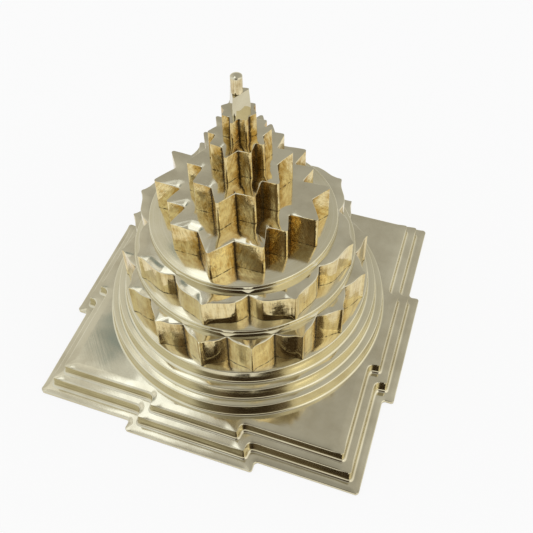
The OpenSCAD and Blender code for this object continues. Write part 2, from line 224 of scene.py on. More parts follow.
@dataclass
class Plan:
    """Edge of a tier seen from above: points anticlockwise, in millimetres, with what the wall needs."""

    points: list[Vector]
    normals: list[Vector]
    along: list[float]
    notch_gaps: list[float]
    inset_room: list[float]
    facets: list[int]

    CORNER: ClassVar[float] = math.radians(20)
    ARC_STEP: ClassVar[float] = math.radians(16)
    EASE_ROUNDS: ClassVar[int] = 8
    ASIDE: ClassVar[float] = math.sin(math.radians(16))
    NO_CORNER: ClassVar[float] = 1000.0
    NEAR: ClassVar[float] = 1e-5
    LEVEL: ClassVar[float] = 0.99
    STRAIGHT: ClassVar[float] = math.radians(0.5)
    GENTLE: ClassVar[float] = math.radians(11)
    TRIM_SHARE: ClassVar[float] = 0.4

    @classmethod
    def of_circle(cls, radius: float, pitch: float) -> Plan:
        """Plan of a round tier.

        Args:
            radius: Radius of the tier.
            pitch: Spacing of the points.

        Returns:
            The plan, as one facet without notches.
        """
        count = 8 * math.ceil(2 * math.pi * radius / pitch / 8)
        turns = [2 * math.pi * i / count for i in range(count)]
        normals = [Vector((math.cos(t), math.sin(t))) for t in turns]
        points, along = [n * radius for n in normals], [t * radius for t in turns]
        far = [cls.NO_CORNER] * count
        return cls(points, normals, along, far, far, [0] * count)

    @classmethod
    def of_solid(cls, solid: bpy.types.Object, top: float, edge: Edge) -> Plan:
        """Plan of a solid's top face, with its sharp corners rounded.

        Args:
            solid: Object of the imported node.
            top: Height of the top face, in metres.
            edge: Corner radii and pitch.

        Returns:
            The plan of the face's outer edge.
        """
        loop = cls._outer_loop(solid.data, top)
        corners, notches, facets = [], [], []
        facet = 0
        for i, point in enumerate(loop):
            before, after = point - loop[i - 1], loop[(i + 1) % len(loop)] - point
            turn = before.angle_signed(after) * -1
            if abs(turn) < cls.CORNER:
                corners.append(point)
                facets.append(facet)
                continue
            if turn < 0:
                notches.append(point)
            arc = cls._arc(point, before, after, turn, edge.tip if turn > 0 else edge.notch)
            half = len(arc) // 2
            corners += arc
            facets += [facet] * half + [facet + 1] * (len(arc) - half)
            facet += 1
        facets = [f % max(facet, 1) for f in facets]
        points, marks = cls._resampled(corners, facets, edge.pitch)
        return cls._measured(cls._eased(points), marks, notches)

    @classmethod
    def _outer_loop(cls, mesh: bpy.types.Mesh, top: float) -> list[Vector]:
        """Outer edge of the faces at a height, anticlockwise, without points on straight runs.

        Args:
            mesh: Mesh of loose triangles.
            top: Height of the faces, in metres.

        Returns:
            Corner points in millimetres.
        """
        edges = set()
        for face in mesh.polygons:
            if face.normal.z > cls.LEVEL and abs(face.center.z - top) < cls.NEAR:
                keys = [tuple(round(c / cls.NEAR) for c in mesh.vertices[v].co.xy) for v in face.vertices]
                edges.update(zip(keys, keys[1:] + keys[:1]))
        follows = {a: b for a, b in edges if (b, a) not in edges}
        loops = []
        while follows:
            start, here = follows.popitem()
            loop = [start]
            while here != start:
                loop.append(here)
                here = follows.pop(here)
            loops.append([Vector(key) * cls.NEAR / MM for key in loop])
        outer = max(loops, key=lambda ring: sum(a.cross(b) for a, b in zip(ring, ring[1:] + ring[:1])))
        bends = []
        for i, point in enumerate(outer):
            turn = (point - outer[i - 1]).angle(outer[(i + 1) % len(outer)] - point)
            if turn > cls.STRAIGHT:
                bends.append(point)
        return bends

    @classmethod
    def _arc(cls, point: Vector, before: Vector, after: Vector, turn: float, radius: float) -> list[Vector]:
        """Rounds one corner.

        Args:
            point: The sharp corner.
            before: Edge that leads to it.
            after: Edge that leaves it.
            turn: Angle between the two, positive on an outer corner.
            radius: Radius of the rounding, which the edges may limit.

        Returns:
            Points on the arc.
        """
        room = cls.TRIM_SHARE * min(before.length, after.length)
        trim = min(radius * math.tan(abs(turn) / 2), room)
        radius = trim / math.tan(abs(turn) / 2)
        start = point - before.normalized() * trim
        side = 1 if turn > 0 else -1
        inward = Vector((-before.y, before.x)).normalized() * side
        centre = start + inward * radius
        steps = max(2, math.ceil(abs(turn) / cls.ARC_STEP))
        spoke = start - centre
        return [centre + Matrix.Rotation(turn * k / steps, 2) @ spoke for k in range(steps + 1)]

    @staticmethod
    def _resampled(corners: list[Vector], facets: list[int], pitch: float) -> tuple[list[Vector], list[int]]:
        """Adds points along the straight runs.

        Args:
            corners: Points of the rounded edge.
            facets: Facet that starts at each point.
            pitch: Spacing of the points.

        Returns:
            The points and their facets.
        """
        points, marks = [], []
        for i, point in enumerate(corners):
            run = corners[(i + 1) % len(corners)] - point
            steps = max(1, round(run.length / pitch))
            points += [point + run * k / steps for k in range(steps)]
            marks += [facets[i]] * steps
        return points, marks

    @classmethod
    def _eased(cls, points: list[Vector]) -> list[Vector]:
        """Takes the kinks out of long curves and leaves tight corners alone.

        Args:
            points: Closed run of points.

        Returns:
            The points, moved a little towards their neighbours.
        """
        count = len(points)
        turns = [(points[i] - points[i - 1]).angle(points[(i + 1) % count] - points[i]) for i in range(count)]
        free = [max(turns[i - 1], turns[i], turns[(i + 1) % count]) < cls.GENTLE for i in range(count)]
        for _ in range(cls.EASE_ROUNDS):
            points = [
                (points[i - 1] + 2 * point + points[(i + 1) % count]) / 4 if free[i] else point
                for i, point in enumerate(points)
            ]
        return points

    @classmethod
    def _measured(cls, points: list[Vector], facets: list[int], notches: list[Vector]) -> Plan:
        """Plan with the normals, lengths, notch distances and inset room of its points.

        Args:
            points: Points of the edge.
            facets: Facet of each point.
            notches: The inner corners.

        Returns:
            The finished plan.
        """
        normals, along, notch_gaps = [], [], []
        length = 0.0
        for i, point in enumerate(points):
            after = points[(i + 1) % len(points)] - point
            tangent = ((point - points[i - 1]).normalized() + after.normalized()).normalized()
            normals.append(Vector((tangent.y, -tangent.x)))
            along.append(length)
            length += after.length
            notch_gaps.append(min([(point - n).length for n in notches], default=cls.NO_CORNER))
        room = [cls._room(point, normal, points) for point, normal in zip(points, normals)]
        return cls(points, normals, along, notch_gaps, room, facets)

    @classmethod
    def _room(cls, point: Vector, normal: Vector, points: list[Vector]) -> float:
        """Radius of the largest circle inside the edge that touches it at a point.

        Args:
            point: Point on the edge.
            normal: Its outward normal.
            points: All points of the edge.

        Returns:
            The radius, in millimetres.
        """
        radius = cls.NO_CORNER
        for other in points:
            away = other - point
            depth = -away.dot(normal)
            if depth > cls.ASIDE * away.length:
                radius = min(radius, away.length_squared / (2 * depth))
        return radius

    def perimeter(self) -> float:
        """Length of the closed edge."""
        return self.along[-1] + (self.points[0] - self.points[-1]).length


@dataclass
class Tier:
    """One tier of the tower, raised from its plan row by row.

    Attributes:
        name: Name of the finished piece.
        plan: Edge of the tier from above.
        rows: Height and outward shift of every point, row by row from the foot to the tread.
        wall_rows: Rows at the foot and at the top of the wall.
        seed: Seed of the strokes left by hand work.
        lean: Most that a facet's strokes lean from upright, in degrees.
    """

    name: str
    plan: Plan
    rows: list[list[tuple[float, float]]]
    wall_rows: tuple[int, int]
    seed: int
    lean: float

    INSET_SHARE: ClassVar[float] = 0.8
    SINK_MEAN: ClassVar[float] = -0.5
    TIP_POWER: ClassVar[float] = 2.2
    WIDENING: ClassVar[float] = 0.7
    BROAD_MM: ClassVar[tuple[float, float, float]] = (4.5, 4.5, 6.0)
    FINE_MM: ClassVar[tuple[float, float, float]] = (1.3, 1.3, 1.7)
    FINE_SHARE: ClassVar[float] = 0.35
    SLIDE_MM: ClassVar[float] = 500
    SMOOTH_BELOW: ClassVar[float] = math.radians(40)

    @classmethod
    def worn(
        cls, name: str, plan: Plan, feet: list[float], high: float, edge: Edge, seed: int, lean: float
    ) -> Tier:
        """Tier with an uneven wall and a rounded top edge.

        Args:
            name: Name of the finished piece.
            plan: Edge of the tier from above.
            feet: Height of the foot at every point of the plan, in millimetres.
            high: Height of the tread, in millimetres.
            edge: How the edges are worn.
            seed: Seed of the unevenness.
            lean: Most that a facet's strokes lean from upright, in degrees.

        Returns:
            The tier, ready to build.
        """
        fall = edge.fall()
        tall = high - max(feet)
        sunk = edge.lean_out(1.0, tall) + edge.rough * cls.SINK_MEAN
        reach = [min(1.0, (cls.INSET_SHARE * room + sunk) / fall[-1][0]) for room in plan.inset_room]
        reach = cls._evened(reach, plan, fall[-1][0])
        tops = [high - fall[0][1] * k**cls.TIP_POWER for k in reach]
        count = max(3, round(tall / edge.pitch))
        foot_out = edge.lean_out(0.0, tall) + edge.rough * cls.SINK_MEAN
        rows = [[(foot + up, foot_out + out) for foot in feet] for out, up in edge.rise()]
        hollow = len(rows)
        for j in range(count + 1):
            share = edge.fillet / tall + j / count * (1 - edge.fillet / tall)
            out = edge.lean_out(share, tall) + edge.rough * cls.SINK_MEAN
            fade = edge.rough * (1 - share**4)
            row = []
            for point, foot, top in zip(plan.points, feet, tops):
                z = foot + share * (top - foot)
                row.append((z, out + fade * (cls._sink(point, z, seed) - cls.SINK_MEAN)))
            rows.append(row)
        brow = rows[-1]
        for inset, drop in fall[1:]:
            edge_row = zip(brow, reach)
            rows.append([(high - drop * k**cls.TIP_POWER, shift - inset * k) for (_, shift), k in edge_row])
        return cls(name, plan, rows, (hollow, hollow + count), seed, lean)

    @classmethod
    def turned(
        cls, name: str, plan: Plan, profile: list[tuple[float, float]], wall_rows: tuple[int, int]
    ) -> Tier:
        """Round tier from one profile.

        Args:
            name: Name of the finished piece.
            plan: Circle of the tier.
            profile: Height and outward shift, from the foot to the tread.
            wall_rows: Rows at the foot and at the top of the wall.

        Returns:
            The tier, ready to build.
        """
        rows = [[step] * len(plan.points) for step in profile]
        return cls(name, plan, rows, wall_rows, 0, 0.0)

    @classmethod
    def _evened(cls, reach: list[float], plan: Plan, width: float) -> list[float]:
        """Lets the crown widen only gently along the edge.

        Args:
            reach: Share of the full crown at every point of the plan.
            plan: Edge of the tier from above.
            width: Full width of the crown.

        Returns:
            The shares, none of them raised.
        """
        even = list(reach)
        order = list(range(len(even)))
        for way in (order, order[::-1]):
            for here, after in zip(way * 2, way[1:] + way + way[:1]):
                gap = (plan.points[here] - plan.points[after]).length
                even[after] = min(even[after], even[here] + cls.WIDENING * gap / width)
        return even

    @classmethod
    def _sink(cls, point: Vector, z: float, seed: int) -> float:
        """How far a wall sinks.

        Args:
            point: Point of the plan.
            z: Height, in millimetres.
            seed: Seed of the unevenness.

        Returns:
            A share of the roughness, from 0 to about -1.
        """
        (bx, by, bz), (fx, fy, fz) = cls.BROAD_MM, cls.FINE_MM
        broad = noise.noise(Vector((point.x / bx, point.y / by, z / bz + seed)))
        fine = noise.noise(Vector((point.x / fx, point.y / fy, z / fz - seed)))
        return min(0.0, 0.5 * (broad + cls.FINE_SHARE * fine - 1))

    def build(self) -> bpy.types.Object:
        """Raises the tier from a filled circle.

        Returns:
            The new object, at the origin, with its place in its mesh.
        """
        deselect_all()
        count = len(self.plan.points)
        bpy.ops.mesh.primitive_circle_add(vertices=count, radius=1, fill_type="NGON")
        piece = bpy.context.object
        piece.name = self.name
        bpy.ops.object.mode_set(mode="EDIT")
        bpy.ops.mesh.select_all(action="SELECT")
        for _ in self.rows[1:]:
            bpy.ops.mesh.extrude_region_move(TRANSFORM_OT_translate={"value": (0, 0, 1)})
        bpy.ops.object.mode_set(mode="OBJECT")
        places = self._place_points(piece.data)
        bpy.ops.object.mode_set(mode="EDIT")
        bpy.ops.mesh.select_all(action="SELECT")
        bpy.ops.mesh.normals_make_consistent(inside=False)
        bpy.ops.object.mode_set(mode="OBJECT")
        self._mark_surfaces(piece.data, places)
        self.smooth(piece)
        return piece

    def _place_points(self, mesh: bpy.types.Mesh) -> list[tuple[int, int]]:
        """Moves the points of the raised circle to the tier's own places.

        Args:
            mesh: Mesh of the raised circle.

        Returns:
            Place on the plan and row of every vertex.
        """
        count = len(self.plan.points)
        places = []
        for vertex in mesh.vertices:
            turn = math.atan2(vertex.co.y, vertex.co.x) / (2 * math.pi) * count
            place = round(turn) % count
            row = round(vertex.co.z)
            z, shift = self.rows[row][place]
            flat = self.plan.points[place] + self.plan.normals[place] * shift
            vertex.co = Vector((flat.x, flat.y, z)) * MM
            places.append((place, row))
        mesh.update()
        return places

    def _mark_surfaces(self, mesh: bpy.types.Mesh, places: list[tuple[int, int]]) -> None:
        """Gives the faces their surface, and the wall its stroke map and the foot height and notch distance
        that place its patina and painted shade.

        Args:
            mesh: Mesh of the tier.
            places: Place on the plan and row of every vertex.
        """
        count = len(self.plan.points)
        foot = mesh.attributes.new(FOOT_HEIGHT, "FLOAT", "POINT")
        gap = mesh.attributes.new(NOTCH_GAP, "FLOAT", "POINT")
        feet = [z for z, _ in self.rows[0]]
        foot.data.foreach_set("value", [self.rows[r][p][0] - feet[p] for p, r in places])
        gap.data.foreach_set("value", [self.plan.notch_gaps[p] for p, _ in places])
        strokes = mesh.uv_layers.new(name=STROKE_MAP)
        bottom, top = self.wall_rows
        for face in mesh.polygons:
            marks = [places[v] for v in face.vertices]
            on_wall = len(marks) == 4 and all(bottom <= row <= top for _, row in marks)
            face.material_index = Surface.WALL.value if on_wall else Surface.TREAD.value
            if len(marks) != 4:
                continue
            first = min(p for p, _ in marks)
            wraps = max(p for p, _ in marks) - first > 1
            facet = self.plan.facets[count - 1 if wraps else first]
            turn, slide = self._stroke(facet)
            for corner, (place, row) in zip(face.loop_indices, marks):
                along = self.plan.perimeter() if wraps and place == 0 else self.plan.along[place]
                spot = Matrix.Rotation(turn, 2) @ Vector((along, self.rows[row][place][0]))
                strokes.data[corner].uv = spot + Vector((slide, slide))

    def _stroke(self, facet: int) -> tuple[float, float]:
        """Lean and offset of the file strokes on a facet."""
        dice = random.Random(1000 * self.seed + facet)
        return math.radians(dice.uniform(-self.lean, self.lean)), dice.uniform(0, self.SLIDE_MM)

    @classmethod
    def smooth(cls, piece: bpy.types.Object) -> None:
        """Shades the rounded edges of a piece smooth and keeps its treads flat.

        Args:
            piece: The active object.
        """
        bpy.ops.object.shade_smooth_by_angle(angle=cls.SMOOTH_BELOW)
        bpy.ops.object.modifier_add(type="WEIGHTED_NORMAL")
        piece.modifiers[-1].keep_sharp = True
        bpy.ops.object.modifier_apply(modifier=piece.modifiers[-1].name)


@dataclass(frozen=True)
class Finish:
    """A brass finish that can be put on a piece."""

    name: str

    def material(self) -> bpy.types.Material:
        """The finish as a material, made once.

        Returns:
            The material.
        """
        known = bpy.data.materials.get(self.name)
        if known is not None:
            return known
        made = bpy.data.materials.new(self.name)
        made.use_nodes = True
        tree = made.node_tree
        tree.nodes.clear()
        shader = add_node(tree, "BsdfPrincipled", {"Metallic": 1.0, **self.paint(tree)})
        add_node(tree, "OutputMaterial", {"Surface": shader})
        return made

    def paint(self, tree: bpy.types.NodeTree) -> dict[str, bpy.types.Node]:
        """Nodes for the shader's inputs; each finish has its own."""
        raise NotImplementedError


@dataclass(frozen=True)
class PolishedBrass(Finish):
    """Brass sheet or casting buffed on a cloth wheel: pale, mirror-like, with soft waves and faint streaks.

    Attributes:
        light: Colour where the buffing was strongest.
        dull: Colour under old handling haze.
        gloss: Roughness of the clean metal.
        haze: Roughness under the haze.
        wave_mm: Width of the waves that the wheel leaves.
        streak_mm: Width of the fine buffing streaks, drawn coarser than real so that they show.
        streak_turn: Direction of the streaks from X, in degrees.
        streak_deep_mm: Depth of the streaks.
        cloud_mm: Width of the clouds of haze.
    """

    light: str = "#DAD2B5"
    dull: str = "#BFB597"
    gloss: float = 0.07
    haze: float = 0.17
    wave_mm: float = 16.0
    streak_mm: float = 0.8
    streak_turn: float = 35.0
    streak_deep_mm: float = 0.002
    cloud_mm: float = 22.0

    WAVE_FLATNESS: ClassVar[float] = 80
    STREAK_SHAPE: ClassVar[tuple[float, ...]] = (25, 1, 4)

    def paint(self, tree: bpy.types.NodeTree) -> dict[str, bpy.types.Node]:
        """Haze in colour and gloss, waves and streaks in relief.

        Args:
            tree: Node tree of the material.

        Returns:
            Shader input to the node that feeds it.
        """
        add = partial(add_node, tree)
        place = add("TexCoord").outputs["Object"]
        haze = add(
            "TexNoise", {"Vector": place, "Scale": per_mm(self.cloud_mm), "Detail": 4.0, "Roughness": 0.6}
        )
        veil = add("MapRange", {"Value": haze, "From Min": 0.35, "From Max": 0.7})
        turned = add(
            "Mapping",
            {
                "Vector": place,
                "Rotation": (0.0, 0.0, math.radians(self.streak_turn)),
                "Scale": [part * self.streak_mm * MM for part in self.STREAK_SHAPE],
            },
            vector_type="TEXTURE",
        )
        streaks = add("TexNoise", {"Vector": turned, "Scale": 1.0, "Detail": 3.0})
        colour = add("Mix", {"Factor": veil, 6: linear(self.light), 7: linear(self.dull)}, data_type="RGBA")
        rubbed = add("Math", {0: veil, 1: streaks}, operation="MULTIPLY")
        gloss = add("MapRange", {"Value": rubbed, "From Max": 0.6, "To Min": self.gloss, "To Max": self.haze})
        waves = add("TexNoise", {"Vector": place, "Scale": per_mm(self.wave_mm), "Detail": 1.0})
        broad = add("Bump", {"Height": waves, "Distance": self.wave_mm / self.WAVE_FLATNESS * MM})
        fine = add("Bump", {"Height": streaks, "Distance": self.streak_deep_mm * MM, "Normal": broad})
        return {"Base Color": colour, "Roughness": gloss, "Normal": fine}


@dataclass(frozen=True)
class TurnedBrass(Finish):
    """Brass turned on a lathe and buffed: fine rings round the axis that smear the reflections.

    Attributes:
        light: Colour of the ridges.
        dull: Colour in the tool marks.
        gloss: Roughness of the buffed metal.
        ring_mm: Spacing of the tool marks, drawn coarser than real so that they show.
        ring_deep_mm: Depth of the tool marks.
        cloud_mm: Width of the worn clouds.
        wave_mm: Width of the waves left by the buffing.
        wave_deep_mm: Depth of those waves.
        wear: Roughness added by wear.
    """

    light: str = "#DED6B8"
    dull: str = "#D0C6A2"
    gloss: float = 0.09
    ring_mm: float = 0.8
    ring_deep_mm: float = 0.002
    cloud_mm: float = 14.0
    wave_mm: float = 12.0
    wave_deep_mm: float = 0.05
    wear: float = 0.08

    def paint(self, tree: bpy.types.NodeTree) -> dict[str, bpy.types.Node]:
        """Rings by distance from the axis and by height.

        Args:
            tree: Node tree of the material.

        Returns:
            Shader input to the node that feeds it.
        """
        add = partial(add_node, tree)
        place = add("TexCoord").outputs["Object"]
        apart = add("SeparateXYZ", {"Vector": place})
        flat = add("CombineXYZ", {"X": apart.outputs["X"], "Y": apart.outputs["Y"]})
        reach = add("VectorMath", {0: flat}, operation="LENGTH")
        spot = add("CombineXYZ", {"X": reach, "Y": apart.outputs["Z"]})
        rings = add("TexNoise", {"Vector": spot, "Scale": per_mm(self.ring_mm), "Detail": 3.0})
        cloud = add("TexNoise", {"Vector": place, "Scale": per_mm(self.cloud_mm), "Detail": 3.0})
        worn = add("Math", {0: rings, 1: cloud}, operation="MULTIPLY")
        shade = add("MapRange", {"Value": worn, "From Min": 0.1, "From Max": 0.45})
        colour = add("Mix", {"Factor": shade, 6: linear(self.light), 7: linear(self.dull)}, data_type="RGBA")
        gloss = add("MapRange", {"Value": shade, "To Min": self.gloss, "To Max": self.gloss + self.wear})
        waves = add("TexNoise", {"Vector": place, "Scale": per_mm(self.wave_mm), "Detail": 1.0})
        broad = add("Bump", {"Height": waves, "Distance": self.wave_deep_mm * MM})
        relief = add("Bump", {"Height": rings, "Distance": self.ring_deep_mm * MM, "Normal": broad})
        return {"Base Color": colour, "Roughness": gloss, "Normal": relief}


@dataclass(frozen=True)
class FiledBrass(Finish):
    """Cast brass dressed with a file and left unbuffed: deep gold, scored, pitted, and dark in the corners and
    at the feet, partly patina and partly painted shade.

    Attributes:
        bright: Gold of the freshly filed metal.
        deep: Gold of the older skin.
        grime_and_shade: Dark colour of the scratches and pits, and of the notches and feet, where it is partly
            patina and partly painted shade.
        gloss: Roughness of the filed metal.
        stroke_mm: Width of a file stroke.
        stroke_run_mm: Length of a file stroke.
        score_mm: Depth of the strokes and dents.
        scratch: How dark the hair-fine scratches are, from 0 to 1.
        pit_mm: Spacing of the casting pits.
        pit_deep_mm: Depth of the pits.
        blotch_mm: Width of the blotches of older skin.
        dent_mm: Width of the dents.
        ragged_mm: Width of the breaks in the dark lines of patina and painted shade.
        foot_mm: Height of the dark line at the foot, partly patina and partly painted shade.
        corner_mm: Width of the dark line in a notch, partly patina and partly painted shade.
    """

    bright: str = "#E9D69E"
    deep: str = "#B8944A"
    grime_and_shade: str = "#22150A"
    gloss: float = 0.09
    stroke_mm: float = 1.0
    stroke_run_mm: float = 8.0
    score_mm: float = 0.05
    scratch: float = 0.5
    pit_mm: float = 1.6
    pit_deep_mm: float = 0.05
    blotch_mm: float = 5.0
    dent_mm: float = 2.2
    ragged_mm: float = 1.6
    foot_mm: float = 0.5
    corner_mm: float = 1.1

    def paint(self, tree: bpy.types.NodeTree) -> dict[str, bpy.types.Node]:
        """Strokes on the stroke map, pits, and patina with painted shade by height and notch distance.

        Args:
            tree: Node tree of the material.

        Returns:
            Shader input to the node that feeds it.
        """
        add = partial(add_node, tree)
        place = add("TexCoord").outputs["Object"]
        score = add("UVMap", uv_map=STROKE_MAP)
        lines = add("Mapping", {"Vector": score, "Scale": (1 / self.stroke_mm, 1 / self.stroke_run_mm, 1.0)})
        strokes = add("TexNoise", {"Vector": lines, "Scale": 1.0, "Detail": 4.0, "Roughness": 0.65})
        hair = add("TexNoise", {"Vector": lines, "Scale": 3.5, "Roughness": 0.7})
        scratches = add(
            "MapRange", {"Value": hair, "From Min": 0.54, "From Max": 0.68, "To Max": self.scratch}
        )
        blotch = add(
            "TexNoise", {"Vector": place, "Scale": per_mm(self.blotch_mm), "Detail": 4.0, "Roughness": 0.6}
        )
        cell = add("TexVoronoi", {"Vector": place, "Scale": per_mm(self.pit_mm)})
        spread = add("MapRange", {"Value": blotch, "From Min": 0.5, "From Max": 0.75, "To Max": 0.24})
        inside = add("Math", {0: spread, 1: cell}, operation="SUBTRACT")
        pits = add("MapRange", {"Value": inside, "From Max": 0.1, "To Max": 0.8})
        height = add("Attribute", attribute_name=FOOT_HEIGHT).outputs["Fac"]
        gap = add("Attribute", attribute_name=NOTCH_GAP).outputs["Fac"]
        ragged = add(
            "TexNoise", {"Vector": place, "Scale": per_mm(self.ragged_mm), "Detail": 4.0, "Roughness": 0.65}
        )
        # Dark line at the foot of the wall: partly patina, partly painted shade where the wall meets the tread
        # below.
        foot_top = add(
            "MapRange",
            {"Value": ragged, "From Min": 0.4, "From Max": 0.65, "To Min": 0.05, "To Max": 2 * self.foot_mm},
        )
        foot = add("MapRange", {"Value": height, "From Max": foot_top, "To Min": 0.9, "To Max": 0.0})
        # Dark line in each notch: partly patina, partly painted shade in the inner corner.
        notch_side = add(
            "MapRange",
            {
                "Value": ragged,
                "From Min": 0.38,
                "From Max": 0.66,
                "To Min": 0.35,
                "To Max": 2 * self.corner_mm,
            },
        )
        notch = add(
            "MapRange", {"Value": gap, "From Min": 0.2, "From Max": notch_side, "To Min": 0.92, "To Max": 0.0}
        )
        corner = add("Math", {0: foot, 1: notch}, operation="MAXIMUM")
        marks = add("Math", {0: scratches, 1: pits}, operation="MAXIMUM")
        # Mask of the dark colour: real scratches and pits, with patina and painted shade at the feet and in
        # the notches.
        grime_and_shade = add("Math", {0: corner, 1: marks}, operation="MAXIMUM")
        # Deeper gold towards the notches: painted shade of the inner corners, partly patina.
        notch_patina_and_shade = add(
            "MapRange", {"Value": gap, "From Max": 4 * self.corner_mm, "To Min": 0.26, "To Max": -0.08}
        )
        worked = add("Math", {0: strokes, 1: blotch}, operation="ADD")
        tone = add("Math", {0: worked, 1: notch_patina_and_shade}, operation="ADD")
        shade = add("MapRange", {"Value": tone, "From Min": 0.8, "From Max": 1.22})
        metal = add("Mix", {"Factor": shade, 6: linear(self.bright), 7: linear(self.deep)}, data_type="RGBA")
        # Paints the dark colour: scratches, pits and patina, and painted shade at the feet and in the notches.
        colour = add("Mix", {"Factor": grime_and_shade, 6: metal, 7: linear(self.grime_and_shade)}, data_type="RGBA")
        skin = add("MapRange", {"Value": shade, "To Min": self.gloss - 0.04, "To Max": self.gloss + 0.1})
        gloss = add("Math", {0: grime_and_shade, 1: 0.35, 2: skin}, operation="MULTIPLY_ADD")
        dents = add("TexNoise", {"Vector": place, "Scale": per_mm(self.dent_mm), "Detail": 3.0})
        uneven = add("Math", {0: strokes, 1: dents}, operation="ADD")
        scored = add("Bump", {"Height": uneven, "Distance": self.score_mm * MM})
        pitted = add(
            "Bump", {"Height": pits, "Distance": self.pit_deep_mm * MM, "Normal": scored}, invert=True
        )
        return {"Base Color": colour, "Roughness": gloss, "Normal": pitted}


@dataclass(frozen=True)
class BrushedBrass(Finish):
    """Brass wall rubbed along its length with emery cloth: level lines, and a dark line at the foot that is
    partly dirt and partly painted shade.

    Attributes:
        bright: Colour of the rubbed metal.
        deep: Colour between the lines.
        grime_and_shade: Colour of the line at the foot, partly dirt and partly painted shade where the wall
            meets the tread.
        gloss: Roughness of the rubbed metal.
        line_mm: Spacing of the lines, drawn coarser than real so that they show.
        line_run_mm: Length of the lines.
        line_deep_mm: Depth of the lines.
        ragged_mm: Width of the breaks in the line at the foot.
        foot_mm: Height of the line at the foot, partly dirt and partly painted shade.
    """

    bright: str = "#DBD1AF"
    deep: str = "#C0B48B"
    grime_and_shade: str = "#3B2A17"
    gloss: float = 0.1
    line_mm: float = 0.45
    line_run_mm: float = 18.0
    line_deep_mm: float = 0.008
    ragged_mm: float = 2.5
    foot_mm: float = 0.3

    def paint(self, tree: bpy.types.NodeTree) -> dict[str, bpy.types.Node]:
        """Level lines in colour, gloss and relief, and dirt with painted shade by height.

        Args:
            tree: Node tree of the material.

        Returns:
            Shader input to the node that feeds it.
        """
        add = partial(add_node, tree)
        place = add("TexCoord").outputs["Object"]
        level = add(
            "Mapping",
            {
                "Vector": place,
                "Scale": [per_mm(part) for part in (self.line_run_mm, self.line_run_mm, self.line_mm)],
            },
        )
        lines = add("TexNoise", {"Vector": level, "Scale": 1.0, "Detail": 4.0})
        shade = add("MapRange", {"Value": lines, "From Min": 0.3, "From Max": 0.7})
        height = add("Attribute", attribute_name=FOOT_HEIGHT).outputs["Fac"]
        ragged = add("TexNoise", {"Vector": place, "Scale": per_mm(self.ragged_mm), "Detail": 4.0})
        foot_top = add("Math", {0: ragged, 1: 2 * self.foot_mm}, operation="MULTIPLY")
        # Dark line at the foot: partly dirt, partly painted shade where the wall meets the tread below.
        foot = add(
            "MapRange", {"Value": height, "From Min": 0.1, "From Max": foot_top, "To Min": 0.9, "To Max": 0.0}
        )
        metal = add("Mix", {"Factor": shade, 6: linear(self.bright), 7: linear(self.deep)}, data_type="RGBA")
        # Paints the line at the foot: dirt, with painted shade.
        colour = add("Mix", {"Factor": foot, 6: metal, 7: linear(self.grime_and_shade)}, data_type="RGBA")
        gloss = add("MapRange", {"Value": shade, "To Min": self.gloss, "To Max": self.gloss + 0.1})
        relief = add("Bump", {"Height": lines, "Distance": self.line_deep_mm * MM})
        return {"Base Color": colour, "Roughness": gloss, "Normal": relief}


BUFFED_TREAD = PolishedBrass("buffed_brass_tread", haze=0.15)
WORN_TREAD = PolishedBrass(
    "handled_brass_tread", gloss=0.08, wave_mm=26.0, streak_turn=-50.0, streak_deep_mm=0.004
)
BUFFED_FINIAL = PolishedBrass("buffed_brass_finial", gloss=0.06, haze=0.12, wave_mm=5.0)
LATHE_TREAD = TurnedBrass("lathe_turned_tread")
LATHE_WALL = TurnedBrass("lathe_turned_wall", dull="#CBBF97", gloss=0.1)
FILED_WALL = FiledBrass("filed_cast_brass")
SCRAPED_WALL = FiledBrass(
    "scraped_cast_brass",
    bright="#E4D3A0",
    deep="#C4AA70",
    stroke_mm=1.5,
    stroke_run_mm=18.0,
    score_mm=0.03,
    scratch=0.25,
    corner_mm=0.9,
)
KNOB_WALL = FiledBrass(
    "scraped_brass_knob",
    bright="#E6D8B0",
    deep="#B39A68",
    stroke_mm=0.5,
    stroke_run_mm=9.0,
    score_mm=0.03,
    foot_mm=0.4,
)
EMERY_WALL = BrushedBrass("emery_rubbed_brass")
DRAWN_ROD = BrushedBrass("drawn_brass_rod", bright="#D8C795", deep="#A98D55", grime_and_shade="#C9B47F", gloss=0.24)


DISC_EDGE = Edge(rim=0.4, crown=8.0, slope=7.5, tip=0.0, notch=0.0, pitch=1.4, rough=0.0, draft=4.5)


@dataclass
class Assembly:
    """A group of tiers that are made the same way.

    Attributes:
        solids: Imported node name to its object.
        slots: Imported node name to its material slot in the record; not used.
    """

    solids: dict[str, bpy.types.Object]
    slots: dict[str, str]

    def stand_in(self, piece: bpy.types.Object, node: str, tread: Finish, wall: Finish) -> None:
        """Dresses a piece and lets it stand for its node.

        Args:
            piece: The modelled piece.
            node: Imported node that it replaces.
            tread: Finish of its level faces.
            wall: Finish of its upright faces.
        """
        for finish in (tread, wall):
            piece.data.materials.append(finish.material())
        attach(piece, BODY)
        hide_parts(node)
        LOG.info("%s stands for %s with %d faces", piece.name, node, len(piece.data.polygons))

    @staticmethod
    def levels(node: str) -> tuple[float, float]:
        """Foot and tread of a node, in millimetres."""
        low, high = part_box(node)
        return low.z / MM, high.z / MM

    def outlined(
        self, node: str, edge: Edge, seed: int, lean: float = 0.0, disc: str | None = None
    ) -> bpy.types.Object:
        """Builds a tier from the outline of its own solid.

        Args:
            node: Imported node.
            edge: How its edges are worn.
            seed: Seed of its unevenness.
            lean: Most that a facet's strokes lean from upright, in degrees.
            disc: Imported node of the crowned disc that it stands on, if it does.

        Returns:
            The new piece.
        """
        low, high = self.levels(node)
        plan = Plan.of_solid(self.solids[node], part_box(node)[1].z, edge)
        feet = [low] * len(plan.points)
        if disc is not None:
            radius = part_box(disc)[1].x / MM
            feet = [low - DISC_EDGE.crown_drop(radius - point.length) for point in plan.points]
        return Tier.worn(f"{node}_brass", plan, feet, high, edge, seed, lean).build()


